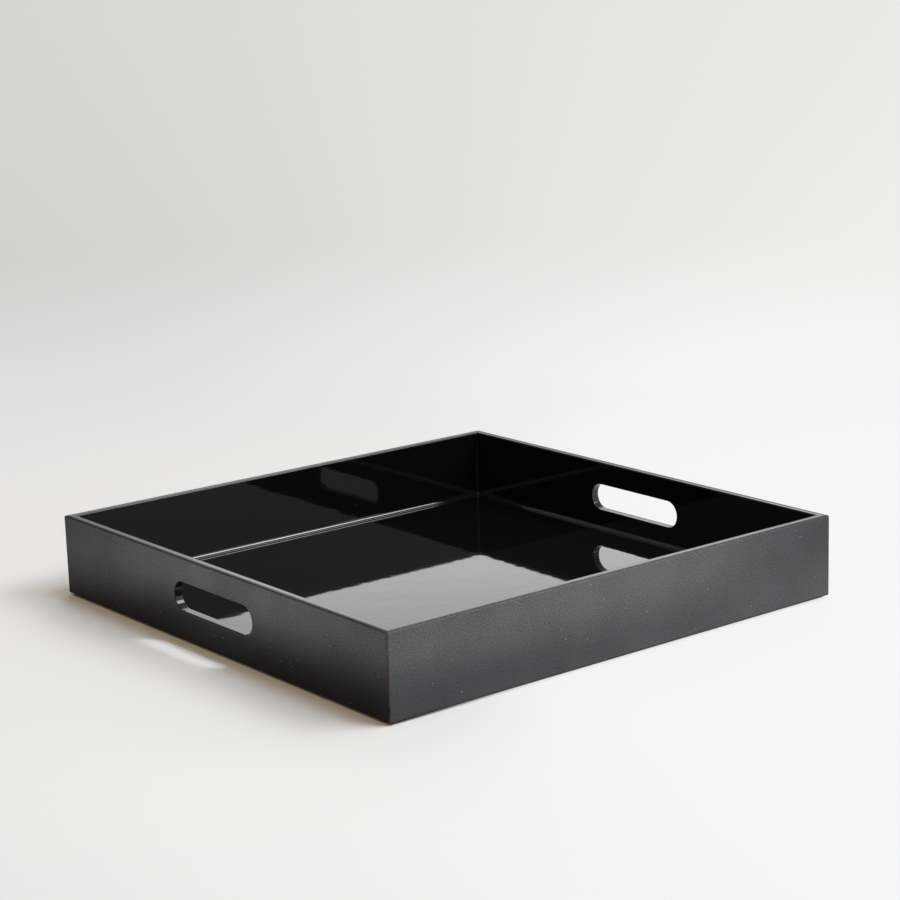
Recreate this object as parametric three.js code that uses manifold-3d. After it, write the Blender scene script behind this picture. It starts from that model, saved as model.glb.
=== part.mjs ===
// Square lacquered serving tray with two hand slots.
// Millimetres, +Z up. The origin is the middle of the underside: X runs from one slotted end wall
// to the other, and the front wall faces -Y.

import * as THREE from 'three';
import { mergeVertices } from 'three/addons/utils/BufferGeometryUtils.js';
import Module from 'manifold-3d';

const wasm = await Module();
wasm.setup();

// Outer form
const trayLength = 400;
const trayWidth = 400;
const trayHeight = 61.5;
const wallThickness = 7;
const arrisRadius = 1.5;
const cornerRadius = 1.1;

// Foot: the base board is set back from the walls and stands proud below them
const plinthDrop = 1.3;
const plinthSetback = 2.4;
const baseThickness = 7.5;
const baseCornerRadius = 1.5;
const baseEase = 0.7;

// Hand slots in the two end walls
const slotLength = 97;
const slotHeight = 20.8;
const slotCentreHeight = 33.1;
const slotEase = 0.8;

// Coved joints inside
const coveRadius = 3;
const coveFeather = 0.25;

// Hidden keys across the mitres
const keyThickness = 1.8;
const keyReach = 2.4;
const keyDepthFromOutside = 4.7;
const keyTopBelowRim = 9;
const keyGrooveSlack = 0.3;

// Thickness of every glued joint
const glueLine = 0.3;

// Smoothness of rounded edges
const arrisSteps = 4;
const slotEndSteps = 20;
const coveSteps = 6;

const wallFoot = plinthDrop;
const floorHeight = baseThickness;
const quarterTurn = Math.PI / 2;
const eighthTurn = Math.PI / 4;

const lacquerBlack = new THREE.Color(0.012, 0.011, 0.011);
const keyWood = new THREE.Color(0.36, 0.24, 0.14);

function lacquer(roughness) {
  return new THREE.MeshStandardMaterial({ color: lacquerBlack, roughness, metalness: 0 });
}

function toSolid(geometry) {
  const bare = geometry.clone();
  bare.deleteAttribute('normal');
  bare.deleteAttribute('uv');
  const welded = mergeVertices(bare);
  return new wasm.Manifold(new wasm.Mesh({
    numProp: 3,
    vertProperties: new Float32Array(welded.attributes.position.array),
    triVerts: new Uint32Array(welded.index.array),
  }));
}

function toGeometry(solid) {
  const mesh = solid.getMesh();
  const geometry = new THREE.BufferGeometry();
  geometry.setAttribute('position', new THREE.BufferAttribute(mesh.vertProperties, 3));
  geometry.setIndex(new THREE.BufferAttribute(mesh.triVerts, 1));
  geometry.computeVertexNormals();
  return geometry;
}

function roundedRectangle(width, depth, radius) {
  const x = width / 2 - radius;
  const y = depth / 2 - radius;
  const shape = new THREE.Shape();
  shape.absarc(x, y, radius, 0, quarterTurn);
  shape.absarc(-x, y, radius, quarterTurn, 2 * quarterTurn);
  shape.absarc(-x, -y, radius, 2 * quarterTurn, 3 * quarterTurn);
  shape.absarc(x, -y, radius, 3 * quarterTurn, 4 * quarterTurn);
  return shape;
}

// A section drawn as (distance inwards, height) and run along X, centred on the YZ plane
function runAlongX(section, run, curveSegments) {
  const geometry = new THREE.ExtrudeGeometry(section, { depth: run, bevelEnabled: false, curveSegments });
  geometry.translate(0, 0, -run / 2);
  const inwards = new THREE.Vector3(0, 1, 0);
  const upwards = new THREE.Vector3(0, 0, 1);
  const along = new THREE.Vector3(1, 0, 0);
  geometry.applyMatrix4(new THREE.Matrix4().makeBasis(inwards, upwards, along));
  return geometry;
}

// Wall section: eased along the rim and the foot, with a rebate for the base on the inside
function wallSection() {
  const rimHeight = trayHeight - arrisRadius;
  const rebateTop = floorHeight + glueLine;
  const section = new THREE.Shape();
  section.moveTo(plinthSetback, wallFoot);
  section.lineTo(plinthSetback, rebateTop);
  section.lineTo(wallThickness, rebateTop);
  section.lineTo(wallThickness, rimHeight);
  section.absarc(wallThickness - arrisRadius, rimHeight, arrisRadius, 0, quarterTurn);
  section.absarc(arrisRadius, rimHeight, arrisRadius, quarterTurn, 2 * quarterTurn);
  section.absarc(arrisRadius, wallFoot + arrisRadius, arrisRadius, 2 * quarterTurn, 3 * quarterTurn);
  return section;
}

// Both ends of a straight run cut back at 45 degrees, from the outer face inwards
function mitreEnds(geometry, run) {
  const position = geometry.attributes.position;
  for (let i = 0; i < position.count; i += 1) {
    const halfRun = run / 2 - position.getY(i) - glueLine / 2;
    position.setX(i, Math.sign(position.getX(i)) * halfRun);
  }
}

// The key of one mitred corner, or its groove when it is given some slack
function keyGeometry(slack) {
  const keyFoot = floorHeight + coveRadius;
  const keyHeight = trayHeight - keyTopBelowRim - keyFoot + slack;
  const geometry = new THREE.BoxGeometry(2 * keyReach + slack, keyThickness + slack, keyHeight);
  geometry.translate(0, 0, keyFoot + (keyHeight - slack) / 2);
  return geometry;
}

// A key lies square across the mitre, nearer the inside, where the boards are deepest
function placeKey(geometry, halfRun, halfDepth, side) {
  geometry.rotateZ(side * eighthTurn);
  geometry.translate(side * (halfRun - keyDepthFromOutside), -halfDepth + keyDepthFromOutside, 0);
  return geometry;
}

// A round-ended slot through the wall, with its edges rounded over on both faces
function slotCutter(halfDepth) {
  const endRadius = slotHeight / 2;
  const endCentre = slotLength / 2 - endRadius;
  const outline = new THREE.Shape();
  outline.absarc(endCentre, 0, endRadius, -quarterTurn, quarterTurn);
  outline.absarc(-endCentre, 0, endRadius, quarterTurn, 3 * quarterTurn);
  const geometry = new THREE.ExtrudeGeometry(outline, {
    depth: wallThickness - 2 * slotEase,
    bevelThickness: slotEase,
    bevelSize: -slotEase,
    bevelOffset: slotEase,
    bevelSegments: arrisSteps,
    curveSegments: slotEndSteps,
  });
  geometry.rotateX(quarterTurn);
  geometry.translate(0, wallThickness - slotEase - halfDepth, slotCentreHeight);
  return geometry;
}

// A wall modelled as if it were the front one: `run` along X, its outer face at y = -depth / 2
function wallGeometry(run, depth, hasSlot) {
  const board = runAlongX(wallSection(), run, arrisSteps);
  mitreEnds(board, run);
  board.translate(0, -depth / 2, 0);
  const plan = roundedRectangle(run, depth, cornerRadius);
  const outside = new THREE.ExtrudeGeometry(plan, {
    depth: trayHeight + arrisRadius,
    bevelEnabled: false,
    curveSegments: arrisSteps,
  });
  let solid = toSolid(board).intersect(toSolid(outside));
  for (const side of [-1, 1]) {
    const groove = placeKey(keyGeometry(keyGrooveSlack), run / 2, depth / 2, side);
    solid = solid.subtract(toSolid(groove));
  }
  if (hasSlot) {
    solid = solid.subtract(toSolid(slotCutter(depth / 2)));
  }
  return toGeometry(solid);
}

function baseGeometry() {
  const setback = plinthSetback + glueLine;
  const plan = roundedRectangle(trayLength - 2 * setback, trayWidth - 2 * setback, baseCornerRadius);
  const geometry = new THREE.ExtrudeGeometry(plan, {
    depth: baseThickness - 2 * baseEase,
    bevelThickness: baseEase,
    bevelSize: baseEase,
    bevelOffset: -baseEase,
    bevelSegments: arrisSteps,
    curveSegments: coveSteps,
  });
  geometry.translate(0, 0, baseEase);
  return geometry;
}

// Cove strip between floor and wall, stopped at the corner fillets
function coveGeometry(run, depth) {
  const section = new THREE.Shape();
  section.moveTo(0, 0);
  section.lineTo(coveRadius, 0);
  section.absarc(coveRadius, coveRadius, coveRadius - coveFeather, 3 * quarterTurn, 2 * quarterTurn, true);
  section.lineTo(0, coveRadius);
  const length = run - 2 * (wallThickness + coveRadius + 2 * glueLine);
  const geometry = runAlongX(section, length, coveSteps);
  geometry.translate(0, wallThickness + glueLine - depth / 2, floorHeight + glueLine);
  return geometry;
}

// Upright fillet in an inner corner, hollowed by a ball-nosed cutter so that it runs out into the coves
function cornerFilletGeometry() {
  const height = trayHeight - arrisRadius - floorHeight - glueLine;
  const post = new THREE.BoxGeometry(coveRadius, coveRadius, height);
  post.translate(coveRadius / 2, coveRadius / 2, height / 2);
  const hollow = coveRadius - coveFeather;
  const profile = [];
  for (let i = 0; i <= coveSteps; i += 1) {
    const angle = (quarterTurn * i) / coveSteps;
    profile.push(new THREE.Vector2(hollow * Math.sin(angle), coveRadius - hollow * Math.cos(angle)));
  }
  profile[0].x = 0;
  profile.push(new THREE.Vector2(hollow, height + coveRadius));
  profile.push(new THREE.Vector2(0, height + coveRadius));
  const cutter = new THREE.LatheGeometry(profile, 4 * coveSteps);
  cutter.rotateX(quarterTurn);
  cutter.translate(coveRadius, coveRadius, 0);
  return toGeometry(toSolid(post).subtract(toSolid(cutter)));
}

function addMesh(parent, name, geometry, material) {
  const mesh = new THREE.Mesh(geometry, material);
  mesh.name = name;
  parent.add(mesh);
  return mesh;
}

const tray = new THREE.Group();
tray.name = 'tray';

// Each side is a wall with its floor cove, turned to its place about the middle of the tray
const sides = [
  { place: 'front', turns: 0, run: trayLength, depth: trayWidth, wall: 'front_wall', hasSlot: false },
  { place: 'right', turns: 1, run: trayWidth, depth: trayLength, wall: 'right_end_wall', hasSlot: true },
  { place: 'back', turns: 2, run: trayLength, depth: trayWidth, wall: 'back_wall', hasSlot: false },
  { place: 'left', turns: 3, run: trayWidth, depth: trayLength, wall: 'left_end_wall', hasSlot: true },
];
const wallRoughness = 0.4;
const glossRoughness = 0.08;
for (const { place, turns, run, depth, wall, hasSlot } of sides) {
  const side = new THREE.Group();
  side.rotation.z = turns * quarterTurn;
  addMesh(side, wall, wallGeometry(run, depth, hasSlot), lacquer(wallRoughness));
  addMesh(side, `floor_cove_${place}`, coveGeometry(run, depth), lacquer(glossRoughness));
  tray.add(side);
}

addMesh(tray, 'base_panel', baseGeometry(), lacquer(glossRoughness));

// Corner fillets and mitre keys, corner by corner
const corners = [
  { place: 'front_left', turns: 0, x: -1, y: -1 },
  { place: 'front_right', turns: 1, x: 1, y: -1 },
  { place: 'back_right', turns: 2, x: 1, y: 1 },
  { place: 'back_left', turns: 3, x: -1, y: 1 },
];
for (const { place, turns, x, y } of corners) {
  const inset = wallThickness + glueLine;
  const fillet = addMesh(tray, `corner_fillet_${place}`, cornerFilletGeometry(), lacquer(glossRoughness));
  fillet.position.set(x * (trayLength / 2 - inset), y * (trayWidth / 2 - inset), floorHeight + glueLine);
  fillet.rotation.z = turns * quarterTurn;

  const keyMaterial = new THREE.MeshStandardMaterial({ color: keyWood, roughness: 0.8, metalness: 0 });
  const key = addMesh(tray, `corner_key_${place}`, keyGeometry(0), keyMaterial);
  const keyX = x * (trayLength / 2 - keyDepthFromOutside);
  const keyY = y * (trayWidth / 2 - keyDepthFromOutside);
  key.position.set(keyX, keyY, 0);
  key.rotation.z = turns * quarterTurn - eighthTurn;
}

export default tray;
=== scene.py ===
"""Visual model of a square black lacquered breakfast tray, laid out as a Blender add-on.

Every visible piece of the tray is rebuilt as a closed mesh in the place of its CAD node, with rounded
arrises and procedural lacquer, and the tray stands on a pale floor in soft light from a window.
"""

import math

import bmesh
import bpy
from mathutils import Matrix, Vector


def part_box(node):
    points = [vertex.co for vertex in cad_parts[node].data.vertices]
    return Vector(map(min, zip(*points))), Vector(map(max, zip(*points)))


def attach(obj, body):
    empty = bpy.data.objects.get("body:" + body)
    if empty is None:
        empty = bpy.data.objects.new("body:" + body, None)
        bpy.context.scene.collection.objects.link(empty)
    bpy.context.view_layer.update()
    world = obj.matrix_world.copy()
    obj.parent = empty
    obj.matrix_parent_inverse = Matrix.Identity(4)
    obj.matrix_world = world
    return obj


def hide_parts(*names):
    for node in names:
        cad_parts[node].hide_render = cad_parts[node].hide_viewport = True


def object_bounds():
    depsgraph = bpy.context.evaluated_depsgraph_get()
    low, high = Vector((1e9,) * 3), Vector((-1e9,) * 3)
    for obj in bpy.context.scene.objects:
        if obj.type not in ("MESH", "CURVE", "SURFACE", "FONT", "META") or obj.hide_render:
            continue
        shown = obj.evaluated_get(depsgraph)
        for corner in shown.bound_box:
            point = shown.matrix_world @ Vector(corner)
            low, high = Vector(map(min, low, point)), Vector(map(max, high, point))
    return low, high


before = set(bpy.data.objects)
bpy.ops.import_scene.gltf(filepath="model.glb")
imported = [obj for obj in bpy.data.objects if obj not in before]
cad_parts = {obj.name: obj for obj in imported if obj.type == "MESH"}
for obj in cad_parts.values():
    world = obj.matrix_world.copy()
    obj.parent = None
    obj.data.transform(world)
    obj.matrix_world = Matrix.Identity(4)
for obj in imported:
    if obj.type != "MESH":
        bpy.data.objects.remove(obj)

bl_info = {
    "name": "Lacquered Breakfast Tray",
    "version": (1, 0, 0),
    "blender": (4, 5, 0),
    "location": "View3D > Sidebar > Tray",
    "description": "Builds a square lacquered breakfast tray with hand slots, and the stage it stands on",
    "category": "Add Mesh",
}

BODY = "root"

# Boxes of the CAD model and of the nodes that set the sizes, and half the tray's plan, in metres
TRAY_LOW, TRAY_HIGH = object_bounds()
WALL_LOW, WALL_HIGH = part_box("front_wall")
BASE_LOW, BASE_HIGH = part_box("base_panel")
KEY_LOW, KEY_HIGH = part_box("corner_key_front_right")
HALF_LENGTH = (TRAY_HIGH.x - TRAY_LOW.x) / 2
HALF_WIDTH = (TRAY_HIGH.y - TRAY_LOW.y) / 2

# How finely the rounded stretches are divided
ARRIS_STEPS = 6
CORNER_STEPS = 5
SLOT_STEPS = 32
SLOT_EASE_STEPS = 5
COVE_STEPS = 16
BASE_CORNER_STEPS = 8
BASE_EASE_STEPS = 4
FLOOR_SIDES = 128

# Edges that turn more than this stay sharp
SHARP_TURN = math.radians(40)

# Lengths in metres that differ by less than this are alike
SMALLEST = 1e-7

# How much the rim and the foot are rubbed, against the upright corners
RIM_EXPOSURE = 0.3
FOOT_EXPOSURE = 0.7

# Finish of a face, as its place among a piece's materials: satin or matt outside, polished inside
SATIN = 0
GLOSS = 1

# The room near the horizon and overhead, as (azimuth in degrees from +X towards +Y, share of its brightness)
ROOM_STRENGTH = 2.0
ROOM_WALLS = (
    (-180, (0.12, 0.1, 0.08)),
    (-160, (0.12, 0.1, 0.08)),
    (-115, (0.2, 0.17, 0.14)),
    (-85, (0.47, 0.46, 0.43)),
    (-60, (0.48, 0.48, 0.45)),
    (-10, (0.47, 0.48, 0.5)),
    (22, (0.2, 0.2, 0.2)),
    (38, (0.34, 0.34, 0.34)),
    (62, (0.34, 0.34, 0.34)),
    (78, (0.08, 0.07, 0.07)),
    (150, (0.08, 0.07, 0.06)),
    (180, (0.12, 0.1, 0.08)),
)
ROOM_CEILING = (
    (-180, (0.6, 0.38, 0.14)),
    (-120, (0.54, 0.42, 0.27)),
    (-80, (0.3, 0.27, 0.24)),
    (-45, (0.24, 0.25, 0.26)),
    (45, (0.24, 0.25, 0.26)),
    (80, (0.24, 0.24, 0.24)),
    (110, (0.1, 0.1, 0.1)),
    (150, (0.17, 0.13, 0.09)),
    (180, (0.6, 0.38, 0.14)),
)

# Elevations, in degrees, between which the room's walls give way to its ceiling
CEILING_START = (28, 60)

# The pale back wall, in degrees: azimuth of its middle, soft ends on both sides of it, elevations of its
# skirting's top and its own top, and the ends of a stretch that is dimmer by a share
BACK_WALL_MIDDLE = 44.5
BACK_WALL_ENDS = (11.0, 19.0)
SKIRTING_TOP = (13.8, 16.0)
BACK_WALL_TOP = (42.0, 47.0)
DIM_START = (15.4, 18.0)
DIM_END = (20.0, 26.0)
DIM_SHARE = 0.8

# The skirting rises by this share of the turn from an azimuth in degrees
SKIRTING_SLOPE = 0.02
SKIRTING_START = 50.0

# The beams through the left slot: azimuth in degrees, height of a lamp, distance from the slot, spread of
# the light and elevations of the lamps in degrees
BEAM_AZIMUTH = -44
BEAM_HEIGHT = 0.01
BEAM_DISTANCE = 0.12
BEAM_SPREAD = math.radians(8)
BEAM_ELEVATIONS = (47, 53, 59, 64)

# Distance of the other lamps, and watts for a square metre of lamp at a brightness of 1
LAMP_DISTANCE = 3.0
LAMP_POWER = 4.0

# The camera's sensor in millimetres, and how far it sees in metres
SENSOR_WIDTH = 36.0
CAMERA_REACH = 100.0

# The floor's radius, and its gap to the tray, so that the two don't share a plane
FLOOR_RADIUS = 14.0
FLOOR_GAP = 0.0001

# The colours of the floor's glow, dim and bright, beside the tray and far from it; the glow is painted light,
# brighter towards the window side
NEAR_PALE = ((0.775, 0.775, 0.785), (0.93, 0.93, 0.93))
FAR_PALE = ((0.63, 0.63, 0.62), (0.86, 0.86, 0.85))

# Distances over which the floor turns to its painted glow, and over which the glow takes its far colours
EVEN_FLOOR = (0.35, 0.9)
FAR_FLOOR = (0.4, 2.0)

# The azimuth, in degrees, towards which the floor's painted glow is bright, and the cosines of the turn from
# it between which it changes from dim to bright, and to a share of glow right beside the tray that paints
# over the floor's shade there
BRIGHT_AZIMUTH = -38.2
BRIGHT_SIDE = (-0.45, 0.45)
EVEN_SIDE = (-0.12, 0.3)
EVEN_SHARE = 0.75

# Painted sheen and shade of the satin boards: a specular level, and a coat whose weight is set by place, with
# the heights and distances in metres over which it changes
END_SHEEN = {"level": 0.15, "foot_painted_sheen": 0.0, "rim_painted_sheen": 0.76, "edge_painted_sheen": 0.6, "far_lift": 0.016}
SIDE_SHEEN = {"level": 0.5, "foot_painted_sheen": 0.33, "rim_painted_sheen": 0.8, "edge_painted_sheen": 0.3, "far_lift": 0.0}
SHEEN_HEIGHTS = (0.01, 0.055)
FOOT_STRETCH = (0.0, 0.4)
RIM_STRETCH = (0.2, 0.44)
LIFT_STRETCH = (0.24, 0.42)
MIDDLE_STRETCH = (0.06, 0.2)

# Where most values of a noise lie
MIDDLE = (0.3, 0.7)

# Depths, in metres, of the patterns that bend the surfaces' normals
GLOSS_RIPPLE = 28e-6
SATIN_RIPPLE = 10e-6
SEALER_RIPPLE = 30e-6
WOOD_GRAIN = 40e-6

# Refraction of the lacquers and of the painted sheen's coat on the satin one, roughness of dust and of
# rounded edges
GLOSS_IOR = 1.52
SATIN_IOR = 1.4
PAINTED_SHEEN_IOR = 2.05
DUST_ROUGHNESS = 0.6
EDGE_ROUGHNESS = 0.6

# Quarter turns that bring the front wall, or the front left corner, to each place
WALL_TURNS = {"front": 0, "right": 1, "back": 2, "left": 3}
CORNER_TURNS = {"front_left": 0, "front_right": 1, "back_right": 2, "back_left": 3}


def length_setting(name, description, default):
    """A setting in metres."""
    return bpy.props.FloatProperty(name=name, description=description, default=default, unit="LENGTH")


def angle_setting(name, description, default):
    """A setting in radians, shown in degrees."""
    return bpy.props.FloatProperty(name=name, description=description, default=default, subtype="ANGLE")


def colour_setting(name, description, default):
    """A colour setting."""
    return bpy.props.FloatVectorProperty(
        name=name, description=description, default=default, size=3, subtype="COLOR", min=0.0, max=1.0
    )


class TrayShape(bpy.types.PropertyGroup):
    """Sizes of the tray's pieces."""

    wall_thickness: length_setting(
        "Wall Thickness", "Thickness of the four boards", WALL_HIGH.y - WALL_LOW.y
    )
    rim_crown: length_setting(
        "Rim Crown", "How far the rim's outer rounding reaches in over the top", 0.0028
    )
    rim_drop: length_setting(
        "Rim Drop", "How far the rim's outer rounding reaches down the outside", 0.001
    )
    rim_inner_radius: length_setting("Inner Rim Radius", "Rounding of the rim's inner arris", 0.0012)
    foot_radius: length_setting("Foot Radius", "Rounding of the walls' lower edge", 0.0015)
    corner_radius: length_setting("Corner Radius", "Rounding of the four upright outer corners", 0.0011)
    lip_thickness: length_setting(
        "Lip Thickness", "Thickness of the lip that hangs down round the base", 0.0024
    )
    slot_length: length_setting(
        "Slot Length", "Length of a hand slot between its round ends' far points", 0.097
    )
    slot_height: length_setting("Slot Height", "Clear height of a hand slot", 0.0208)
    slot_centre: length_setting("Slot Centre", "Height of a hand slot's middle above the table", 0.0331)
    slot_ease: length_setting("Slot Ease", "Rounding where a hand slot meets the wall's faces", 0.0008)
    cove_radius: length_setting(
        "Cove Radius", "Radius of the filled joints between floor and walls", 0.003
    )
    base_corner_radius: length_setting(
        "Base Corner Radius", "Rounding of the base's corners in plan", 0.0015
    )
    base_ease: length_setting("Base Ease", "Rounding of the base's edges", 0.0007)
    key_thickness: length_setting("Key Groove Width", "Width of the groove for a key in a mitre", 0.0021)
    key_reach: length_setting("Key Groove Depth", "Depth of the groove for a key in a mitre", 0.00255)


class TrayFinish(bpy.types.PropertyGroup):
    """Colours and gloss of the tray's surfaces."""

    gloss_colour: colour_setting(
        "Gloss Lacquer", "Colour of the polished lacquer inside", (0.0035, 0.0034, 0.0034)
    )
    # The satin colour's slight blue cast is painted light, standing in for bluish light on the boards
    satin_colour_and_blue_cast: colour_setting(
        "Satin Lacquer", "Colour of the satin lacquer outside", (0.0088, 0.009, 0.0125)
    )
    worn_colour: colour_setting(
        "Worn Arris", "Colour of the undercoat that shows along worn arrises", (0.1, 0.038, 0.03)
    )
    dust_colour: colour_setting("Dust", "Colour of the dust specks in the lacquer", (0.22, 0.22, 0.22))
    underside_colour: colour_setting(
        "Underside", "Colour of the base's matt edge and underside", (0.03, 0.022, 0.018)
    )
    key_colour: colour_setting(
        "Key Wood", "Colour of the bare wood of the hidden keys", (0.36, 0.24, 0.14)
    )
    gloss_roughness: bpy.props.FloatProperty(
        name="Gloss Roughness",
        description="Roughness of the polished lacquer",
        default=0.03,
        subtype="FACTOR",
        min=0.0,
        max=1.0,
    )
    satin_roughness: bpy.props.FloatProperty(
        name="Satin Roughness",
        description="Roughness of the satin lacquer",
        default=0.48,
        subtype="FACTOR",
        min=0.0,
        max=1.0,
    )


class TrayStage(bpy.types.PropertyGroup):
    """Camera, lamps, sky and floor."""

    camera_place: bpy.props.FloatVectorProperty(
        name="Camera Place",
        description="Where the camera stands",
        default=(-1.02891, -1.32233, 0.50197),
        size=3,
        subtype="TRANSLATION",
    )
    camera_turn: bpy.props.FloatVectorProperty(
        name="Camera Turn",
        description="How the camera is turned",
        default=(math.radians(76.836), math.radians(1.72), math.radians(-38.602)),
        size=3,
        subtype="EULER",
    )
    camera_lens: bpy.props.FloatProperty(
        name="Lens",
        description="Focal length on a 36 mm wide sensor, in millimetres",
        default=94.42,
    )
    window_azimuth: angle_setting(
        "Window Azimuth", "Compass direction of the window, from +X towards +Y", math.radians(-51)
    )
    window_elevation: angle_setting(
        "Window Elevation",
        "Height of the window above the horizon, seen from the tray",
        math.radians(48),
    )
    window_width: length_setting("Window Width", "Width of the window, three metres away", 1.8)
    window_height: length_setting("Window Height", "Height of the window, three metres away", 1.0)
    window_strength: bpy.props.FloatProperty(
        name="Window Strength",
        description="Brightness of the window's surface",
        default=6.6,
    )
    window_colour: colour_setting("Window Colour", "Colour of the window's light", (0.86, 0.93, 1.0))
    sky_colour: colour_setting("Sky Colour", "Colour of the skylight", (0.74, 0.86, 1.0))
    skylight_azimuth: angle_setting(
        "Skylight Azimuth", "Compass direction of the skylight, from +X towards +Y", math.radians(-62)
    )
    skylight_elevation: angle_setting(
        "Skylight Elevation",
        "Height of the skylight above the horizon, seen from the tray",
        math.radians(75),
    )
    skylight_size: length_setting("Skylight Size", "Side of the square skylight, three metres away", 0.8)
    skylight_strength: bpy.props.FloatProperty(
        name="Skylight Strength",
        description="Brightness of the skylight's surface",
        default=9.4,
    )
    beam_power: bpy.props.FloatProperty(
        name="Beam Power",
        description="Power of each narrow beam that falls through the left hand slot onto the floor",
        default=0.0012,
        unit="POWER",
    )
    back_wall_strength: bpy.props.FloatProperty(
        name="Back Wall Strength",
        description="Brightness of the lit wall behind the tray that the polished floor mirrors",
        default=1.9,
    )
    floor_colour: colour_setting("Floor", "Colour of the pale floor", (0.8, 0.8, 0.8))


def arc_points(centre, radius, first, last, steps):
    """Points on an arc in a plane, with both ends; the angles are in degrees."""
    points = []
    for step in range(steps + 1):
        angle = math.radians(first + (last - first) * step / steps)
        points.append((centre[0] + radius * math.cos(angle), centre[1] + radius * math.sin(angle)))
    return points


def eased_edge(ease, steps):
    """Quarter round of an eased edge, as distances from the two faces that it joins."""
    points = []
    for step in range(steps + 1):
        angle = math.radians(90) * step / steps
        points.append((ease * (1 - math.sin(angle)), ease * (1 - math.cos(angle))))
    return points


def arris_weight(step, steps):
    """How exposed a point of a rounded edge is: 1 half way round, 0 at its ends."""
    return math.sin(math.pi * step / steps)


def rounded_edge(points, finish, exposure):
    """A section's points round an edge, most exposed half way."""
    edge = []
    for step, (inward, height) in enumerate(points):
        edge.append((inward, height, finish, exposure * arris_weight(step, ARRIS_STEPS), False))
    return edge


def wall_section(shape):
    """Section of a wall, in order round it, as (inward, height, finish, exposure, at slot height).

    The finish is that of the strip from a point to the next one.
    """
    thickness = shape.wall_thickness
    inner = shape.rim_inner_radius
    lower = shape.foot_radius
    foot = WALL_LOW.z
    floor = BASE_HIGH.z
    rim = WALL_HIGH.z
    inner_rim = arc_points((thickness - inner, rim - inner), inner, 0, 90, ARRIS_STEPS)
    outer_rim = []
    for across, up in arc_points((1.0, -1.0), 1.0, 90, 180, ARRIS_STEPS):
        outer_rim.append((shape.rim_crown * across, rim + shape.rim_drop * up))
    outer_foot = arc_points((lower, foot + lower), lower, 180, 270, ARRIS_STEPS)
    section = [
        (shape.lip_thickness, foot, SATIN, 0.0, False),
        (shape.lip_thickness, floor, SATIN, 0.0, False),
        (thickness, floor, GLOSS, 0.0, False),
        (thickness, shape.slot_centre, GLOSS, 0.0, True),
    ]
    section += rounded_edge(inner_rim, GLOSS, RIM_EXPOSURE)
    section += rounded_edge(outer_rim, SATIN, RIM_EXPOSURE)
    section.append((0.0, shape.slot_centre, SATIN, 0.0, True))
    section += rounded_edge(outer_foot, SATIN, FOOT_EXPOSURE)
    return section


def mitred_end(inward, half_run, shape):
    """Plan points (along, inward, exposure) of one line of a wall, from its plain run to the mitre."""
    radius = shape.corner_radius
    start = half_run - 2 * shape.wall_thickness
    points = [(start, inward, 0.0)]
    for step in range(CORNER_STEPS + 1):
        share = step / CORNER_STEPS
        if inward < radius - SMALLEST:
            swing = radius - inward
            angle = math.radians(45) * share
            along = half_run - radius + swing * math.sin(angle)
            points.append((along, radius - swing * math.cos(angle), share * swing / radius))
        else:
            along = start + (half_run - inward - start) * (step + 1) / (CORNER_STEPS + 1)
            points.append((along, inward, 0.0))
    return points


def slot_outline(shape, flare):
    """Outline (along, height) of a hand slot, anticlockwise from its lower right, widened by flare."""
    radius = shape.slot_height / 2
    straight = shape.slot_length / 2 - radius
    right = arc_points((straight, shape.slot_centre), radius + flare, -90, 90, SLOT_STEPS)
    left = arc_points((-straight, shape.slot_centre), radius + flare, 90, 270, SLOT_STEPS)
    return right + left


def add_slot(mesh, exposure, shape, offset):
    """Adds a hand slot's lining with rounded-over edges; returns its outer and inner rings."""
    lip = []
    for step, (flare, depth) in enumerate(eased_edge(shape.slot_ease, SLOT_EASE_STEPS)):
        lip.append((flare, depth, arris_weight(step, SLOT_EASE_STEPS)))
    inner_lip = [(flare, shape.wall_thickness - depth, weight) for flare, depth, weight in reversed(lip)]
    rings = []
    for flare, depth, weight in lip + inner_lip:
        ring = []
        for along, height in slot_outline(shape, flare):
            vertex = mesh.verts.new((along, offset + depth, height))
            vertex[exposure] = weight
            ring.append(vertex)
        rings.append(ring)
    for near, far in zip(rings, rings[1:]):
        add_band(mesh, near, far, GLOSS, closed=True)
    return rings[0], rings[-1]


def add_band(mesh, near, far, finish, closed=False):
    """Adds a band of quads between two lines of vertices."""
    count = len(near)
    for index in range(count if closed else count - 1):
        after = (index + 1) % count
        face = mesh.faces.new((near[index], near[after], far[after], far[index]))
        face.material_index = finish


def add_pierced_face(mesh, above, level, below, ring, finish):
    """Fills a wall's face round a slot: a polygon over the slot and one under it.

    above, level and below are the face's left and right vertices at those heights.
    """
    rightmost = SLOT_STEPS // 2
    leftmost = SLOT_STEPS + 1 + SLOT_STEPS // 2
    over = ring[rightmost:leftmost + 1]
    under = ring[leftmost:] + ring[:rightmost + 1]
    upper = mesh.faces.new([above[0], above[1], level[1]] + over + [level[0]])
    lower = mesh.faces.new([level[0]] + under + [level[1], below[1], below[0]])
    upper.material_index = finish
    lower.material_index = finish


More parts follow.
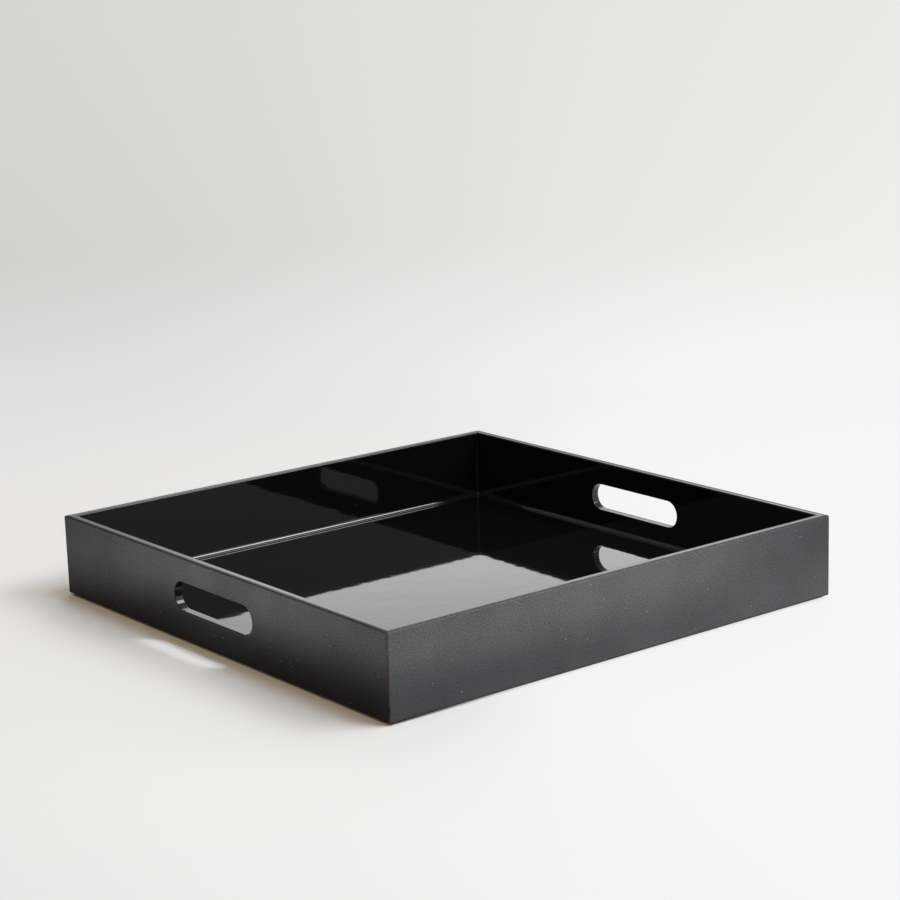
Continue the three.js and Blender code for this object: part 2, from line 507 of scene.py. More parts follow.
def add_mitre_cap(mesh, loop, half_run, offset, side, shape):
    """Closes one mitred end, with the groove for its key."""
    middle = TRAY_HIGH.x - (KEY_LOW.x + KEY_HIGH.x) / 2
    half_width = shape.key_thickness / 2 * math.sqrt(0.5)
    sunk = shape.key_reach * math.sqrt(0.5)
    low = KEY_LOW.z
    high = KEY_HIGH.z
    mouth = []
    bottom = []
    for inward, height in (
        (middle + half_width, low),
        (middle - half_width, low),
        (middle - half_width, high),
        (middle + half_width, high),
    ):
        mouth.append(mesh.verts.new((side * (half_run - inward), offset + inward, height)))
        bottom.append(mesh.verts.new((side * (half_run - inward - sunk), offset + inward - sunk, height)))
    add_band(mesh, mouth, bottom, SATIN, closed=True)
    mesh.faces.new(bottom).material_index = SATIN
    # The floor's seat and the inner end of the rim split the cap round the groove
    seat = 2
    rim_end = 4 + ARRIS_STEPS
    inside = loop[seat:rim_end + 1] + [mouth[3], mouth[0]]
    outside = loop[rim_end:] + loop[:seat + 1] + mouth
    mesh.faces.new(inside).material_index = SATIN
    mesh.faces.new(outside).material_index = SATIN


def wall_mesh(shape, half_run, half_depth, slotted):
    """One wall standing at the front, as a closed mesh with mitred ends."""
    mesh = bmesh.new()
    exposure = mesh.verts.layers.float.new("exposure")
    section = wall_section(shape)
    rows = []
    for inward, height, finish, weight, at_slot in section:
        right = mitred_end(inward, half_run, shape)
        left = [(-along, depth, corner) for along, depth, corner in reversed(right)]
        row = []
        for along, depth, corner in left + right:
            vertex = mesh.verts.new((along, -half_depth + depth, height))
            vertex[exposure] = min(1.0, weight + corner)
            row.append(vertex)
        rows.append(row)
    last = len(rows[0]) - 1
    middle = last // 2
    beside_slot = set()
    if slotted:
        rings = add_slot(mesh, exposure, shape, -half_depth)
        for index, (inward, height, finish, weight, at_slot) in enumerate(section):
            if not at_slot:
                continue
            beside_slot.update((index - 1, index))
            pairs = [rows[index + step][middle:middle + 2] for step in (-1, 0, 1)]
            if pairs[0][0].co.z < pairs[2][0].co.z:
                pairs.reverse()
            ring = rings[0] if inward == 0.0 else rings[1]
            add_pierced_face(mesh, pairs[0], pairs[1], pairs[2], ring, finish)
    for index, row in enumerate(rows):
        following = rows[(index + 1) % len(rows)]
        finish = section[index][2]
        add_band(mesh, row[:middle + 1], following[:middle + 1], finish)
        add_band(mesh, row[middle + 1:], following[middle + 1:], finish)
        if index not in beside_slot:
            add_band(mesh, row[middle:middle + 2], following[middle:middle + 2], finish)
    for side, place in ((-1, 0), (1, last)):
        add_mitre_cap(mesh, [row[place] for row in rows], half_run, -half_depth, side, shape)
    return mesh


def rounded_square(half_x, half_y, radius, height):
    """Corner-rounded outline of the base at one height."""
    points = []
    for turn, (x, y) in enumerate(((1, 1), (-1, 1), (-1, -1), (1, -1))):
        centre = (x * (half_x - radius), y * (half_y - radius))
        for across, along in arc_points(centre, radius, 90 * turn, 90 * turn + 90, BASE_CORNER_STEPS):
            points.append((across, along, height))
    return points


def base_mesh(shape):
    """The base panel: a flat board with eased lower edges."""
    mesh = bmesh.new()
    half_x = (BASE_HIGH.x - BASE_LOW.x) / 2
    half_y = (BASE_HIGH.y - BASE_LOW.y) / 2
    levels = [(inset, BASE_LOW.z + lift) for inset, lift in eased_edge(shape.base_ease, BASE_EASE_STEPS)]
    levels.append((0.0, BASE_HIGH.z))
    rings = []
    for inset, height in levels:
        outline = rounded_square(half_x - inset, half_y - inset, shape.base_corner_radius - inset, height)
        rings.append([mesh.verts.new(point) for point in outline])
    for near, far in zip(rings, rings[1:]):
        add_band(mesh, near, far, SATIN, closed=True)
    mesh.faces.new(rings[0]).material_index = SATIN
    mesh.faces.new(rings[-1]).material_index = GLOSS
    return mesh


def cove_mesh(shape, half_run, half_depth):
    """The filled joint along the front wall: a concave strip between the corner fillets."""
    mesh = bmesh.new()
    radius = shape.cove_radius
    wall = -half_depth + shape.wall_thickness
    floor = BASE_HIGH.z
    reach = half_run - shape.wall_thickness - radius
    profile = arc_points((wall + radius, floor + radius), radius, 180, 270, COVE_STEPS) + [(wall, floor)]
    ends = []
    for along in (-reach, reach):
        ends.append([mesh.verts.new((along, depth, height)) for depth, height in profile])
    add_band(mesh, ends[0], ends[1], 0, closed=True)
    mesh.faces.new(ends[0])
    mesh.faces.new(ends[1])
    return mesh


def corner_fillet_mesh(shape):
    """The front left corner's fillet: a concave upright that ends in a ball corner on the floor."""
    mesh = bmesh.new()
    radius = shape.cove_radius
    low = BASE_HIGH.z
    high = WALL_HIGH.z - shape.rim_inner_radius
    corner = Vector((TRAY_LOW.x + shape.wall_thickness, TRAY_LOW.y + shape.wall_thickness, low))

    def vertex(x, y, z):
        return mesh.verts.new(corner + Vector((x, y, z)))

    pole = vertex(radius, radius, 0.0)
    columns = []
    for step in range(COVE_STEPS + 1):
        round_plan = math.radians(90) * step / COVE_STEPS
        column = [pole]
        for rise in range(1, COVE_STEPS + 1):
            tilt = math.radians(90) * rise / COVE_STEPS
            across = radius - radius * math.cos(round_plan) * math.sin(tilt)
            along = radius - radius * math.sin(round_plan) * math.sin(tilt)
            column.append(vertex(across, along, radius - radius * math.cos(tilt)))
        foot = column[-1].co - corner
        column.append(vertex(foot.x, foot.y, high - low))
        columns.append(column)
    for near, far in zip(columns, columns[1:]):
        mesh.faces.new((pole, near[1], far[1]))
        add_band(mesh, near[1:], far[1:], 0)
    bottom = vertex(0.0, 0.0, 0.0)
    bottom_left = vertex(0.0, radius, 0.0)
    bottom_front = vertex(radius, 0.0, 0.0)
    top = vertex(0.0, 0.0, high - low)
    left = columns[0]
    front = columns[-1]
    mesh.faces.new((bottom, bottom_front, pole, bottom_left))
    mesh.faces.new(left[:-1] + [bottom_left])
    mesh.faces.new(front[:-1] + [bottom_front])
    mesh.faces.new((bottom, bottom_left, left[-2], left[-1], top))
    mesh.faces.new((bottom, bottom_front, front[-2], front[-1], top))
    mesh.faces.new([column[-1] for column in columns] + [top])
    return mesh


def place_piece(context, name, mesh, quarter_turns, materials, node):
    """Turns a mesh into a shaded object that rides on the tray and stands for its CAD node."""
    turn = Matrix.Rotation(math.pi / 2 * quarter_turns, 3, "Z")
    bmesh.ops.rotate(mesh, verts=mesh.verts, cent=(0.0, 0.0, 0.0), matrix=turn)
    bmesh.ops.recalc_face_normals(mesh, faces=mesh.faces)
    for face in mesh.faces:
        face.smooth = True
    for edge in mesh.edges:
        if len(edge.link_faces) != 2:
            raise RuntimeError(f"{name} isn't closed")
        edge.smooth = edge.calc_face_angle() < SHARP_TURN
    data = bpy.data.meshes.new(name)
    mesh.to_mesh(data)
    mesh.free()
    for material in materials:
        data.materials.append(material)
    piece = bpy.data.objects.new(name, data)
    context.scene.collection.objects.link(piece)
    weighted = piece.modifiers.new("Flat faces", "WEIGHTED_NORMAL")
    weighted.keep_sharp = True
    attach(piece, BODY)
    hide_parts(node)


def set_inputs(tree, node, inputs):
    """Links sockets to a node's inputs, and sets those that get a value."""
    for socket, value in inputs.items():
        if isinstance(value, bpy.types.NodeSocket):
            tree.links.new(value, node.inputs[socket])
        else:
            node.inputs[socket].default_value = value


def add_node(tree, kind, inputs=None, **options):
    """Adds a shader node with its options and inputs."""
    made = tree.nodes.new(kind)
    for option, value in options.items():
        setattr(made, option, value)
    set_inputs(tree, made, inputs or {})
    return made


def calculate(tree, operation, first, second=0.0):
    """A math node's result."""
    return add_node(tree, "ShaderNodeMath", {0: first, 1: second}, operation=operation).outputs[0]


def vector_math(tree, operation, first, second=(0.0, 0.0, 0.0)):
    """A vector math node's outputs."""
    return add_node(tree, "ShaderNodeVectorMath", {0: first, 1: second}, operation=operation).outputs


def fade(tree, value, low, high, to_low=0.0, to_high=1.0):
    """A smooth change from to_low to to_high while a value goes from low to high."""
    sockets = {"Value": value, "From Min": low, "From Max": high, "To Min": to_low, "To Max": to_high}
    return add_node(tree, "ShaderNodeMapRange", sockets, interpolation_type="SMOOTHSTEP").outputs["Result"]


def mix_colours(tree, factor, first, second):
    """Two colours mixed by a factor."""
    made = add_node(tree, "ShaderNodeMix", {0: factor, 6: first, 7: second}, data_type="RGBA")
    return made.outputs[2]


def opaque(colour, share=1.0):
    """A colour, or a share of it, with its alpha."""
    return (share * colour[0], share * colour[1], share * colour[2], 1.0)


def noise(tree, place, scale, detail=2.0):
    """Noise between 0 and 1 at a scale per metre."""
    sockets = {"Vector": place, "Scale": scale, "Detail": detail}
    return add_node(tree, "ShaderNodeTexNoise", sockets).outputs["Fac"]


def bump(tree, height, depth):
    """A normal bent by a height pattern of a real depth in metres."""
    sockets = {"Strength": 1.0, "Distance": depth, "Height": height}
    return add_node(tree, "ShaderNodeBump", sockets).outputs["Normal"]


def tray_place(tree):
    """The point on the tray, in metres."""
    return add_node(tree, "ShaderNodeTexCoord").outputs["Object"]


def tray_axes(tree):
    """The point's X, Y and Z."""
    return add_node(tree, "ShaderNodeSeparateXYZ", {"Vector": tray_place(tree)}).outputs


def along_wall(tree):
    """How far the point is from the middle of its wall, in metres."""
    axes = tray_axes(tree)
    length = calculate(tree, "ABSOLUTE", axes["X"])
    width = calculate(tree, "ABSOLUTE", axes["Y"])
    return calculate(tree, "MINIMUM", length, width)


def from_front_corner(tree):
    """How far along the outside the point is from the front left corner, in metres."""
    axes = tray_axes(tree)
    both = calculate(tree, "ADD", axes["X"], axes["Y"])
    return calculate(tree, "SUBTRACT", both, TRAY_LOW.x + TRAY_LOW.y)


def exposed_edge(tree):
    """How exposed the point's edge is, 0 on the flat."""
    return add_node(tree, "ShaderNodeAttribute", attribute_name="exposure").outputs["Fac"]


def fill_ripple(tree, given):
    """Height of a brushed and rubbed lacquer film: a slow wave and a finer orange peel."""
    place = tray_place(tree)
    wave = noise(tree, place, given["Waves per Metre"], 1.0)
    peel = noise(tree, place, given["Peel per Metre"])
    return calculate(tree, "ADD", wave, calculate(tree, "MULTIPLY", peel, given["Peel Share"]))


def fill_wear(tree, given):
    """Mask of the places where a rounded arris is rubbed through."""
    exposure = exposed_edge(tree)
    patches = noise(tree, tray_place(tree), given["Patches per Metre"], 4.0)
    rubbed = calculate(tree, "ADD", calculate(tree, "MULTIPLY", exposure, 0.5), patches)
    soft_end = calculate(tree, "ADD", given["Threshold"], 0.08)
    return calculate(tree, "MULTIPLY", fade(tree, rubbed, given["Threshold"], soft_end), exposure)


def fill_dust(tree, given):
    """Mask of small dust specks caught in the lacquer, in some cells of a grid."""
    sockets = {"Vector": tray_place(tree), "Scale": given["Cells per Metre"]}
    cells = add_node(tree, "ShaderNodeTexVoronoi", sockets).outputs
    draw = add_node(tree, "ShaderNodeSeparateColor", {"Color": cells["Color"]}).outputs
    chosen = calculate(tree, "LESS_THAN", draw["Red"], given["Share"])
    size = calculate(tree, "MULTIPLY", draw["Green"], given["Speck Size"])
    inside = calculate(tree, "LESS_THAN", cells["Distance"], size)
    return calculate(tree, "MULTIPLY", inside, chosen)


def fill_haze(tree, given):
    """Slow and fine unevenness of the rubbed surface, between 0 and 1."""
    place = tray_place(tree)
    patches = noise(tree, place, given["Patches per Metre"], 3.0)
    grain = noise(tree, place, given["Grain per Metre"])
    return add_node(tree, "ShaderNodeMix", {0: given["Grain Share"], 2: patches, 3: grain}).outputs[0]


# The shared effects: the function that fills a node group, its output and its inputs
GROUPS = {
    "Lacquer Ripple": (fill_ripple, "Height", ("Waves per Metre", "Peel per Metre", "Peel Share")),
    "Arris Wear": (fill_wear, "Mask", ("Patches per Metre", "Threshold")),
    "Dust Specks": (fill_dust, "Mask", ("Cells per Metre", "Speck Size", "Share")),
    "Rubbing Haze": (fill_haze, "Haze", ("Patches per Metre", "Grain per Metre", "Grain Share")),
}


def place_group(tree, name, *values):
    """Places a shared effect with its own values, in the order of its inputs, and returns its output."""
    fill, output, labels = GROUPS[name]
    group = bpy.data.node_groups.get(name)
    if group is None:
        group = bpy.data.node_groups.new(name, "ShaderNodeTree")
        for label, value in zip(labels, values):
            socket = group.interface.new_socket(label, in_out="INPUT", socket_type="NodeSocketFloat")
            socket.default_value = value
        group.interface.new_socket(output, in_out="OUTPUT", socket_type="NodeSocketFloat")
        entry = group.nodes.new("NodeGroupInput")
        result = group.nodes.new("NodeGroupOutput")
        group.links.new(fill(group, entry.outputs), result.inputs[output])
    return add_node(tree, "ShaderNodeGroup", dict(zip(labels, values)), node_tree=group).outputs[0]


def painted(name, paint, settings, **options):
    """The material of a name, with the shader inputs that a function gives it on first use."""
    if name in bpy.data.materials:
        return bpy.data.materials[name]
    material = bpy.data.materials.new(name)
    material.use_nodes = True
    tree = material.node_tree
    set_inputs(tree, tree.nodes["Principled BSDF"], paint(tree, settings, **options))
    return material


def gloss_lacquer(tree, finish, coat=0.0, level=0.5):
    """Polished black lacquer: nearly mirror smooth, with a slow wave and a little dust."""
    dust = place_group(tree, "Dust Specks", 80.0, 0.03, 0.12)
    wear = place_group(tree, "Arris Wear", 90.0, 1.08)
    haze = place_group(tree, "Rubbing Haze", 14.0, 900.0, 0.2)
    ripple = place_group(tree, "Lacquer Ripple", 80.0, 500.0, 0.05)
    rubbed = mix_colours(tree, wear, opaque(finish.gloss_colour), opaque(finish.worn_colour))
    smooth = fade(tree, haze, *MIDDLE, finish.gloss_roughness * 0.8, finish.gloss_roughness * 1.25)
    return {
        "Base Color": mix_colours(tree, dust, rubbed, opaque(finish.dust_colour)),
        "Roughness": fade(tree, dust, 0.0, 1.0, smooth, DUST_ROUGHNESS),
        "Normal": bump(tree, ripple, GLOSS_RIPPLE),
        "IOR": GLOSS_IOR,
        "Specular IOR Level": level,
        "Coat Weight": coat,
        "Coat Roughness": finish.gloss_roughness,
    }


def satin_lacquer(tree, finish, level, foot_painted_sheen, rim_painted_sheen, edge_painted_sheen, far_lift):
    """Satin black lacquer outside: fine mottle, dust, and undercoat showing along the arrises.

    The coat's weight is painted sheen and shade, set by place: it grows up a wall from foot_painted_sheen
    to rim_painted_sheen, and the rounded edges keep a share of it, edge_painted_sheen. At the wall's
    far end it starts far_lift lower.
    """
    dust = place_group(tree, "Dust Specks", 260.0, 0.11, 0.13)
    wear = place_group(tree, "Arris Wear", 160.0, 0.83)
    haze = place_group(tree, "Rubbing Haze", 20.0, 1000.0, 0.75)
    ripple = place_group(tree, "Lacquer Ripple", 60.0, 700.0, 0.8)
    dark = opaque(finish.satin_colour_and_blue_cast, 0.6)
    light = opaque(finish.satin_colour_and_blue_cast, 1.4)
    mottle = mix_colours(tree, fade(tree, haze, *MIDDLE), dark, light)
    rubbed = mix_colours(tree, wear, mottle, opaque(finish.worn_colour))
    from_corner = from_front_corner(tree)
    # Painted sheen and shade: the coat is weak at the foot and strong high up, strongest in a wall's middle,
    # and it changes along the outside from the front left corner
    lift = fade(tree, from_corner, *LIFT_STRETCH, 0.0, far_lift)
    height = calculate(tree, "ADD", tray_axes(tree)["Z"], lift)
    foot = fade(tree, from_corner, *FOOT_STRETCH, 0.8 * foot_painted_sheen, 1.5 * foot_painted_sheen)
    middle = fade(tree, along_wall(tree), *MIDDLE_STRETCH, 1.1 * rim_painted_sheen, 0.8 * rim_painted_sheen)
    rim = calculate(tree, "MULTIPLY", middle, fade(tree, from_corner, *RIM_STRETCH, 1.0, 0.45))
    sheen = fade(tree, height, *SHEEN_HEIGHTS, foot, rim)
    exposed = exposed_edge(tree)
    # The rounded edges keep only a share of the painted sheen
    dulled = fade(tree, exposed, 0.0, RIM_EXPOSURE, 1.0, edge_painted_sheen)
    uneven = calculate(tree, "MULTIPLY", fade(tree, haze, *MIDDLE, 0.5, 1.5), dulled)
    painted_sheen_weight = calculate(tree, "MULTIPLY", sheen, uneven)
    rough = finish.satin_roughness
    flat_rough = fade(tree, haze, *MIDDLE, rough - 0.05, rough + 0.05)
    return {
        "Base Color": mix_colours(tree, dust, rubbed, opaque(finish.dust_colour)),
        "Roughness": fade(tree, exposed, 0.0, RIM_EXPOSURE, flat_rough, EDGE_ROUGHNESS),
        "Coat Weight": calculate(tree, "MINIMUM", painted_sheen_weight, 1.0),
        "Normal": bump(tree, ripple, SATIN_RIPPLE),
        "IOR": SATIN_IOR,
        "Specular IOR Level": level,
        "Coat Roughness": rough,
        "Coat IOR": PAINTED_SHEEN_IOR,
    }


def underside_sealer(tree, finish):
    """Thin matt sealer on the base's edge and underside, with the board's grain just showing."""
    haze = place_group(tree, "Rubbing Haze", 25.0, 700.0, 0.5)
    ripple = place_group(tree, "Lacquer Ripple", 200.0, 1400.0, 0.5)
    dark = opaque(finish.underside_colour, 0.6)
    light = opaque(finish.underside_colour, 1.5)
    return {
        "Base Color": mix_colours(tree, haze, dark, light),
        "Roughness": fade(tree, haze, 0.2, 0.8, 0.55, 0.75),
        "Normal": bump(tree, ripple, SEALER_RIPPLE),
    }


def key_hardwood(tree, finish):
    """Bare hardwood of the hidden keys, with upright grain."""
    stretch = add_node(tree, "ShaderNodeMapping", {"Vector": tray_place(tree), "Scale": (1.0, 1.0, 0.06)})
    grain = noise(tree, stretch.outputs["Vector"], 2500.0, 4.0)
    return {
        "Base Color": mix_colours(tree, grain, opaque(finish.key_colour, 0.6), opaque(finish.key_colour)),
        "Roughness": fade(tree, grain, 0.2, 0.8, 0.65, 0.85),
        "Normal": bump(tree, grain, WOOD_GRAIN),
    }


class TRAY_OT_end_walls(bpy.types.Operator):
    """Builds the two end walls, each with its hand slot."""

    bl_idname = "tray.end_walls"
    bl_label = "End Walls"

    def execute(self, context):
        shape = context.scene.tray_shape
        finish = context.scene.tray_finish
        satin = painted("satin_ends", satin_lacquer, finish, **END_SHEEN)
        materials = [satin, painted("gloss_lacquer", gloss_lacquer, finish)]
        for place in ("left", "right"):
            mesh = wall_mesh(shape, HALF_WIDTH, HALF_LENGTH, slotted=True)
            name = f"slotted_end_board_{place}"
            node = f"{place}_end_wall"
            place_piece(context, name, mesh, WALL_TURNS[place], materials, node)
        return {"FINISHED"}


class TRAY_OT_plain_walls(bpy.types.Operator):
    """Builds the plain front and back walls."""

    bl_idname = "tray.plain_walls"
    bl_label = "Plain Walls"

    def execute(self, context):
        shape = context.scene.tray_shape
        finish = context.scene.tray_finish
        satin = painted("satin_sides", satin_lacquer, finish, **SIDE_SHEEN)
        materials = [satin, painted("gloss_lacquer", gloss_lacquer, finish)]
        for place in ("front", "back"):
            mesh = wall_mesh(shape, HALF_LENGTH, HALF_WIDTH, slotted=False)
            name = f"plain_board_{place}"
            node = f"{place}_wall"
            place_piece(context, name, mesh, WALL_TURNS[place], materials, node)
        return {"FINISHED"}


class TRAY_OT_base(bpy.types.Operator):
    """Builds the base panel: polished floor above, matt plinth below."""

    bl_idname = "tray.base"
    bl_label = "Base"

    def execute(self, context):
        finish = context.scene.tray_finish
        underside = painted("underside_sealer", underside_sealer, finish)
        materials = [underside, painted("gloss_lacquer", gloss_lacquer, finish)]
        mesh = base_mesh(context.scene.tray_shape)
        place_piece(context, "floor_board", mesh, 0, materials, "base_panel")
        return {"FINISHED"}


class TRAY_OT_coves(bpy.types.Operator):
    """Builds the coved joints between the floor and the four walls."""

    bl_idname = "tray.coves"
    bl_label = "Floor Coves"

    def execute(self, context):
        shape = context.scene.tray_shape
        materials = [painted("gloss_coves", gloss_lacquer, context.scene.tray_finish, coat=1.0)]
        for place, turns in WALL_TURNS.items():
            halves = (HALF_LENGTH, HALF_WIDTH) if turns % 2 == 0 else (HALF_WIDTH, HALF_LENGTH)
            mesh = cove_mesh(shape, *halves)
            node = f"floor_cove_{place}"
            place_piece(context, f"cove_{place}", mesh, turns, materials, node)
        return {"FINISHED"}


class TRAY_OT_corner_fillets(bpy.types.Operator):
    """Builds the upright fillets in the four inner corners."""

    bl_idname = "tray.corner_fillets"
    bl_label = "Corner Fillets"

    def execute(self, context):
        shape = context.scene.tray_shape
        materials = [painted("gloss_corners", gloss_lacquer, context.scene.tray_finish, level=0.2)]
        for place, turns in CORNER_TURNS.items():
            mesh = corner_fillet_mesh(shape)
            node = f"corner_fillet_{place}"
            place_piece(context, f"inner_corner_{place}", mesh, turns, materials, node)
        return {"FINISHED"}


class TRAY_OT_keys(bpy.types.Operator):
    """Gives the hidden keys in the mitres their bare wood."""

    bl_idname = "tray.keys"
    bl_label = "Mitre Keys"

    def execute(self, context):
        material = painted("key_hardwood", key_hardwood, context.scene.tray_finish)
        for place in CORNER_TURNS:
            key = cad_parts[f"corner_key_{place}"]
            key.data.materials.clear()
            key.data.materials.append(material)
        return {"FINISHED"}


def direction(azimuth, elevation):
    """Unit vector towards a compass direction, from +X towards +Y, at an elevation; in degrees."""
    around = math.radians(azimuth)
    above = math.radians(elevation)
    return Vector((math.cos(above) * math.cos(around), math.cos(above) * math.sin(around), math.sin(above)))


def add_lamp(context, name, width, height, power, colour):
    """A rectangular lamp that isn't seen itself."""
    lamp = bpy.data.lights.new(name, "AREA")
    lamp.shape = "RECTANGLE"
    lamp.size = width
    lamp.size_y = height
    lamp.energy = power
    lamp.color = colour
    made = bpy.data.objects.new(name, lamp)
    made.visible_camera = False
    context.scene.collection.objects.link(made)
    return made


def add_panel_lamp(context, name, towards, width, height, radiance, colour):
    """A lamp of an even surface brightness that faces the tray."""
    made = add_lamp(context, name, width, height, LAMP_POWER * width * height * radiance, colour)
    made.location = towards * LAMP_DISTANCE
    made.rotation_euler = towards.to_track_quat("Z", "Y").to_euler()


def add_slot_beams(context, stage, shape):
    """Flat narrow beams that fall through the left slot onto the floor beside the tray."""
    slot = Vector((TRAY_LOW.x + shape.wall_thickness / 2, 0.0, shape.slot_centre))
    width = shape.slot_length
    for elevation in BEAM_ELEVATIONS:
        towards = direction(BEAM_AZIMUTH, elevation)
        along = (Vector((0.0, 1.0, 0.0)) - towards * towards.y).normalized()
        made = add_lamp(context, "slot_beam", width, BEAM_HEIGHT, stage.beam_power, stage.window_colour)
        made.data.spread = BEAM_SPREAD
        made.location = slot + towards * BEAM_DISTANCE
        made.rotation_euler = Matrix((along, towards.cross(along), towards)).transposed().to_euler()
        made.visible_glossy = False


def room_ring(tree, share, colours):
    """Colours round the room, at a share of a full turn."""
    ring = add_node(tree, "ShaderNodeValToRGB", {"Fac": share})
    ring.color_ramp.interpolation = "EASE"
    stops = ring.color_ramp.elements
    while len(stops) < len(colours):
        stops.new(0.5)
    for stop, (azimuth, colour) in zip(stops, colours):
        stop.position = azimuth / 360 + 0.5
        stop.color = opaque(colour)
    return ring.outputs["Color"]


def fade_angle(tree, angle, ends, to_low=0.0, to_high=1.0):
    """A smooth change while an angle in radians goes between two ends in degrees."""
    return fade(tree, angle, math.radians(ends[0]), math.radians(ends[1]), to_low, to_high)


def back_wall_mask(tree, turn, rise):
    """1 on the pale back wall, at an azimuth and elevation in radians, with soft edges."""
    apart = calculate(tree, "ABSOLUTE", calculate(tree, "SUBTRACT", turn, math.radians(BACK_WALL_MIDDLE)))
    across = fade_angle(tree, apart, BACK_WALL_ENDS, 1.0, 0.0)
    past_start = calculate(tree, "SUBTRACT", turn, math.radians(SKIRTING_START))
    over_skirting = calculate(tree, "SUBTRACT", rise, calculate(tree, "MULTIPLY", past_start, SKIRTING_SLOPE))
    foot = fade_angle(tree, over_skirting, SKIRTING_TOP)
    height = calculate(tree, "MULTIPLY", foot, fade_angle(tree, rise, BACK_WALL_TOP, 1.0, 0.0))
    return calculate(tree, "MULTIPLY", across, height)


def add_room(context, stage):
    """The room as the tray sees it: window side, warm dim side, dark far corner and a pale back wall.

    Glossy rays see its walls and ceiling in grey, so that the lacquer stays a neutral black.
    """
    world = bpy.data.worlds.new("Room")
    world.use_nodes = True
    tree = world.node_tree
    towards = add_node(tree, "ShaderNodeTexCoord").outputs["Generated"]
    parts = add_node(tree, "ShaderNodeSeparateXYZ", {"Vector": towards})
    turn = calculate(tree, "ARCTAN2", parts.outputs["Y"], parts.outputs["X"])
    rise = calculate(tree, "ARCSINE", parts.outputs["Z"])
    share = calculate(tree, "ADD", calculate(tree, "DIVIDE", turn, 2 * math.pi), 0.5)
    walls = room_ring(tree, share, ROOM_WALLS)
    ceiling = room_ring(tree, share, ROOM_CEILING)
    low, high = (math.sin(math.radians(end)) for end in CEILING_START)
    room = mix_colours(tree, fade(tree, parts.outputs["Z"], low, high), walls, ceiling)
    grey = add_node(tree, "ShaderNodeRGBToBW", {"Color": room}).outputs["Val"]
    mirrored = add_node(tree, "ShaderNodeLightPath").outputs["Is Glossy Ray"]
    room = mix_colours(tree, mirrored, room, grey)
    bright = stage.back_wall_strength / ROOM_STRENGTH
    dim = fade_angle(tree, rise, DIM_START, bright, DIM_SHARE * bright)
    pale = fade_angle(tree, rise, DIM_END, dim, bright)
    lit = mix_colours(tree, back_wall_mask(tree, turn, rise), room, pale)
    set_inputs(tree, tree.nodes["Background"], {"Color": lit, "Strength": ROOM_STRENGTH})
    context.scene.world = world


def paper_floor(tree, stage):
    """Pale matt paper."""
    paper = noise(tree, tray_place(tree), 900.0, 3.0)
    return {
        "Base Color": mix_colours(tree, paper, opaque(stage.floor_colour, 0.985), opaque(stage.floor_colour)),
        "Roughness": fade(tree, paper, 0.0, 1.0, 0.85, 0.95),
        "Specular IOR Level": 0.1,
    }


def floor_material(stage):
    """Pale floor that keeps the tray's shadow; camera and glossy rays also see a painted glow, brighter
    towards the window side, that takes over with distance and, beside the tray on that side, paints over most
    of its shade.
    """
    material = painted("studio_floor", paper_floor, stage)
    tree = material.node_tree
    flat = vector_math(tree, "MULTIPLY", tray_place(tree), (1.0, 1.0, 0.0))["Vector"]
    distance = vector_math(tree, "LENGTH", flat)["Value"]
    heading = vector_math(tree, "NORMALIZE", flat)["Vector"]
    across = vector_math(tree, "DOT_PRODUCT", heading, direction(BRIGHT_AZIMUTH, 0))["Value"]
    brightness = fade(tree, across, *BRIGHT_SIDE)
    near_pale = mix_colours(tree, brightness, opaque(NEAR_PALE[0]), opaque(NEAR_PALE[1]))
    far_pale = mix_colours(tree, brightness, opaque(FAR_PALE[0]), opaque(FAR_PALE[1]))
    even = mix_colours(tree, fade(tree, distance, *FAR_FLOOR), near_pale, far_pale)
    glow = add_node(tree, "ShaderNodeEmission", {"Color": even})
    rays = add_node(tree, "ShaderNodeLightPath").outputs
    seen = calculate(tree, "MAXIMUM", rays["Is Camera Ray"], rays["Is Glossy Ray"])
    # Beside the tray on the window side, the glow paints over most of the floor's shade
    beside = fade(tree, across, *EVEN_SIDE, 0.0, EVEN_SHARE)
    evenness = calculate(tree, "MAXIMUM", fade(tree, distance, *EVEN_FLOOR), beside)
    share = calculate(tree, "MULTIPLY", evenness, seen)
    paper = tree.nodes["Principled BSDF"].outputs["BSDF"]
    mixed = add_node(tree, "ShaderNodeMixShader", {0: share, 1: paper, 2: glow.outputs["Emission"]})
    set_inputs(tree, tree.nodes["Material Output"], {"Surface": mixed.outputs["Shader"]})
    return material


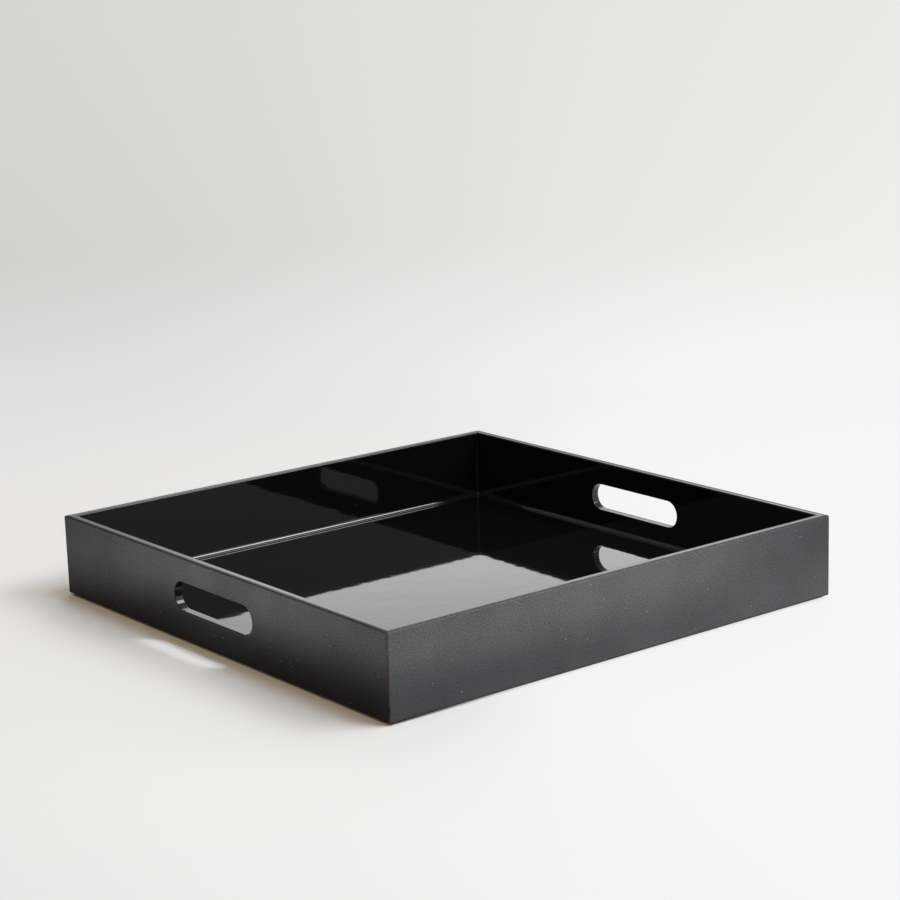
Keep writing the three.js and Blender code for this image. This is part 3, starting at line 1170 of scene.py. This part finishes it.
class TRAY_OT_stage(bpy.types.Operator):
    """Sets up the camera, the floor, the lamps and the room."""

    bl_idname = "tray.stage"
    bl_label = "Stage"

    def execute(self, context):
        stage = context.scene.tray_stage
        context.scene.view_settings.view_transform = "Standard"
        lens = bpy.data.cameras.new("Camera")
        lens.lens = stage.camera_lens
        lens.sensor_width = SENSOR_WIDTH
        lens.clip_end = CAMERA_REACH
        camera = bpy.data.objects.new("Camera", lens)
        camera.location = stage.camera_place
        camera.rotation_euler = stage.camera_turn
        context.scene.collection.objects.link(camera)
        context.scene.camera = camera

        mesh = bmesh.new()
        bmesh.ops.create_circle(mesh, cap_ends=True, segments=FLOOR_SIDES, radius=FLOOR_RADIUS)
        data = bpy.data.meshes.new("studio_floor")
        mesh.to_mesh(data)
        mesh.free()
        data.materials.append(floor_material(stage))
        floor = bpy.data.objects.new("studio_floor", data)
        floor.location.z = TRAY_LOW.z - FLOOR_GAP
        context.scene.collection.objects.link(floor)

        window = direction(math.degrees(stage.window_azimuth), math.degrees(stage.window_elevation))
        width = stage.window_width
        height = stage.window_height
        add_panel_lamp(context, "window", window, width, height, stage.window_strength, stage.window_colour)
        size = stage.skylight_size
        above = direction(math.degrees(stage.skylight_azimuth), math.degrees(stage.skylight_elevation))
        add_panel_lamp(context, "skylight", above, size, size, stage.skylight_strength, stage.sky_colour)
        add_slot_beams(context, stage, context.scene.tray_shape)
        add_room(context, stage)
        return {"FINISHED"}


class TRAY_PT_sidebar(bpy.types.Panel):
    """Lists the tray's settings and the steps that build it."""

    bl_idname = "TRAY_PT_sidebar"
    bl_label = "Lacquered Tray"
    bl_space_type = "VIEW_3D"
    bl_region_type = "UI"
    bl_category = "Tray"

    def draw(self, context):
        for settings in (context.scene.tray_shape, context.scene.tray_finish, context.scene.tray_stage):
            box = self.layout.box()
            for name in settings.bl_rna.properties.keys():
                if name not in {"rna_type", "name"}:
                    box.prop(settings, name)
        for operator in OPERATORS:
            self.layout.operator(operator.bl_idname)


SETTINGS = {"tray_shape": TrayShape, "tray_finish": TrayFinish, "tray_stage": TrayStage}
OPERATORS = (
    TRAY_OT_end_walls,
    TRAY_OT_plain_walls,
    TRAY_OT_base,
    TRAY_OT_coves,
    TRAY_OT_corner_fillets,
    TRAY_OT_keys,
    TRAY_OT_stage,
)
CLASSES = (*SETTINGS.values(), *OPERATORS, TRAY_PT_sidebar)


def register():
    for cls in CLASSES:
        bpy.utils.register_class(cls)
    for name, cls in SETTINGS.items():
        setattr(bpy.types.Scene, name, bpy.props.PointerProperty(type=cls))


def unregister():
    for name in SETTINGS:
        delattr(bpy.types.Scene, name)
    for cls in reversed(CLASSES):
        bpy.utils.unregister_class(cls)


def main():
    register()
    bpy.ops.tray.end_walls()
    bpy.ops.tray.plain_walls()
    bpy.ops.tray.base()
    bpy.ops.tray.coves()
    bpy.ops.tray.corner_fillets()
    bpy.ops.tray.keys()
    bpy.ops.tray.stage()


if __name__ == "__main__":
    main()
